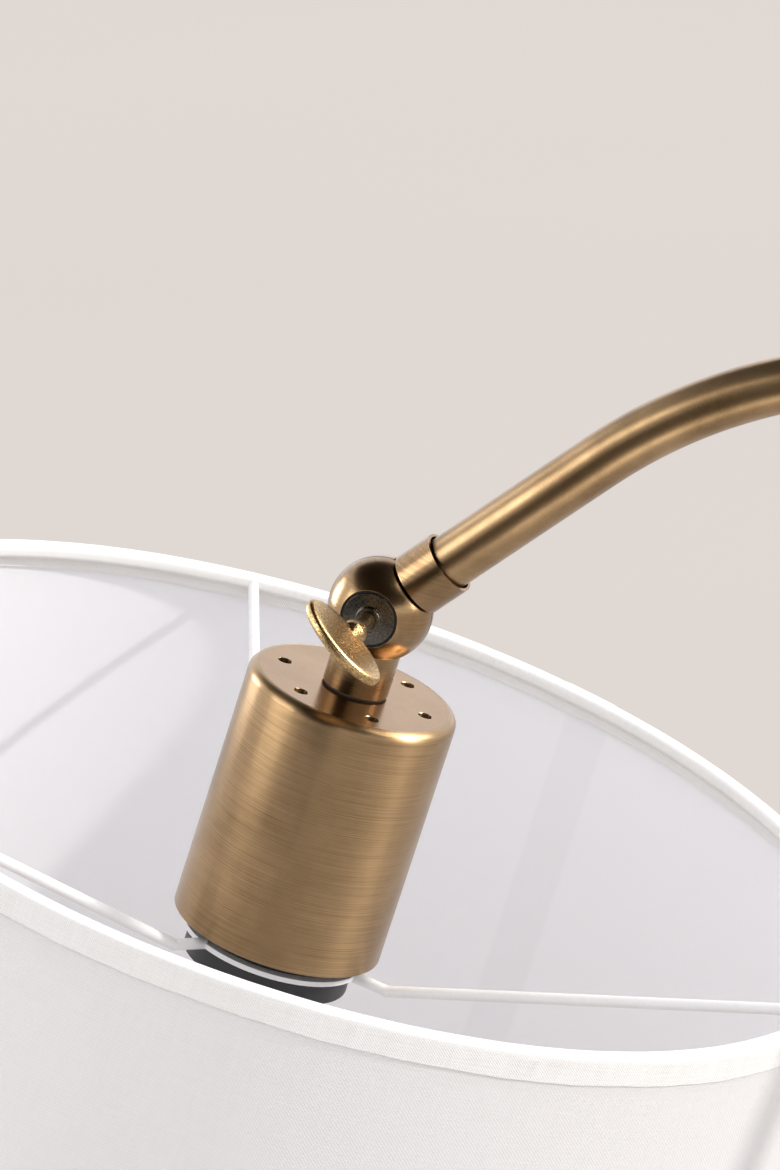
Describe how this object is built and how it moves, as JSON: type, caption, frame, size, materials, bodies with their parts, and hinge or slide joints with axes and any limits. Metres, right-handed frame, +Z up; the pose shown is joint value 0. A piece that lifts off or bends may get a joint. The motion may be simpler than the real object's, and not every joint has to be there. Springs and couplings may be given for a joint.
{
  "type": "arc floor lamp",
  "caption": "Arc floor lamp: bowed brass arm on a telescoping pole and weighted round base, with a clamped ball knuckle, socket cup and white fabric drum shade.",
  "frame": {"origin": "centre of the base's underside, on the floor", "axes": "+Z up the pole; the arm reaches towards -X; both wing screws face -Y; the supply cord's entry faces +X"},
  "size_m": [0.9993, 0.343, 1.631],
  "materials": {
    "brass_tube": "antique brass, satin brushed along the tube, lacquered",
    "brass_turned": "antique brass, turned, satin",
    "brass_spun": "antique brass, brushed round the axis",
    "brass_cast": "antique brass, cast and tumbled",
    "brass_electrical": "bright pressed brass",
    "bronze_dark": "blackened bronze, satin",
    "iron": "rough cast",
    "steel": "zinc plated",
    "nylon": "natural nylon",
    "black_plastic": "moulded black",
    "cable_jacket": "smooth jacket",
    "rubber_black": "matt",
    "ceramic": "unglazed steatite",
    "white_wire": "white powder coat",
    "shade_fabric": "white plain weave on a stiff lining",
    "rim_tape": "white woven tape",
    "opal_glass": "opal, matt",
    "felt": "needled felt"
  },
  "bodies": {
    "base": {"floor_pad": "felt", "base_weight": "iron", "base_cover": "brass_spun", "base_washer": "steel", "base_nut": "steel", "base_stud": "steel", "cord_gland": "black_plastic", "earth_screw": "steel", "earth_tag": "brass_electrical", "base_lead": "cable_jacket", "pole_foot": "brass_turned", "pole_plug": "steel", "lower_pole": "brass_tube", "pole_coupler": "brass_turned", "upper_pole": "brass_tube", "pole_collar": "brass_turned", "upper_glide": "nylon", "height_pad": "nylon"},
    "height_screw": {"height_screw": "brass_cast"},
    "mast": {"inner_pole": "brass_tube", "lower_glide": "nylon", "swivel_socket": "brass_turned", "swivel_washer": "nylon", "swivel_retainer": "steel"},
    "arm": {"arm_ferrule": "brass_turned", "arm_tube": "brass_tube", "arm_lead": "cable_jacket", "knuckle_arm_half": "brass_turned", "pivot_insert": "steel", "friction_washer": "nylon"},
    "head": {"knuckle_head_half": "brass_turned", "clamp_disc": "bronze_dark", "stem_washer": "rubber_black", "socket_cup": "brass_spun", "cup_nipple": "steel", "cup_locknut": "steel", "head_lead": "cable_jacket", "lampholder_cap": "black_plastic", "lampholder_body": "black_plastic", "terminal_block": "ceramic", "terminal_screws": "brass_electrical", "centre_contact": "brass_electrical", "screw_shell": "brass_electrical", "shade_ring_nut": "black_plastic", "shade_spider": "white_wire", "top_ring": "white_wire", "bottom_ring": "white_wire", "shade_fabric": "shade_fabric", "top_tape": "rim_tape", "bottom_tape": "rim_tape"},
    "thumb_screw": {"thumb_screw": "brass_cast"},
    "bulb": {"bulb_cap": "steel", "bulb_glass": "opal_glass"}
  },
  "joints": [
    {"name": "height_slide", "type": "slide", "parent": "base", "child": "mast", "axis": [0, 0, 1], "range_m": [-0.08, 0.12]},
    {"name": "height_screw_turn", "type": "hinge", "parent": "base", "child": "height_screw", "pos_m": [0, 0, 1.006], "axis": [0, -1, 0], "range_deg": [0, 360]},
    {"name": "arm_swing", "type": "hinge", "parent": "mast", "child": "arm", "pos_m": [0, 0, 1.139], "axis": [0, 0, 1], "range_deg": [-170, 170]},
    {"name": "head_tilt", "type": "hinge", "parent": "arm", "child": "head", "pos_m": [-0.60934, 0, 1.54436], "axis": [0, -1, 0], "range_deg": [-75, 45]},
    {"name": "thumb_screw_turn", "type": "hinge", "parent": "head", "child": "thumb_screw", "pos_m": [-0.60934, 0, 1.54436], "axis": [0, -1, 0], "range_deg": [0, 360]},
    {"name": "bulb_out", "type": "slide", "parent": "head", "child": "bulb", "axis": [-0.304, 0, -0.9527], "range_m": [0, 0.12]}
  ]
}
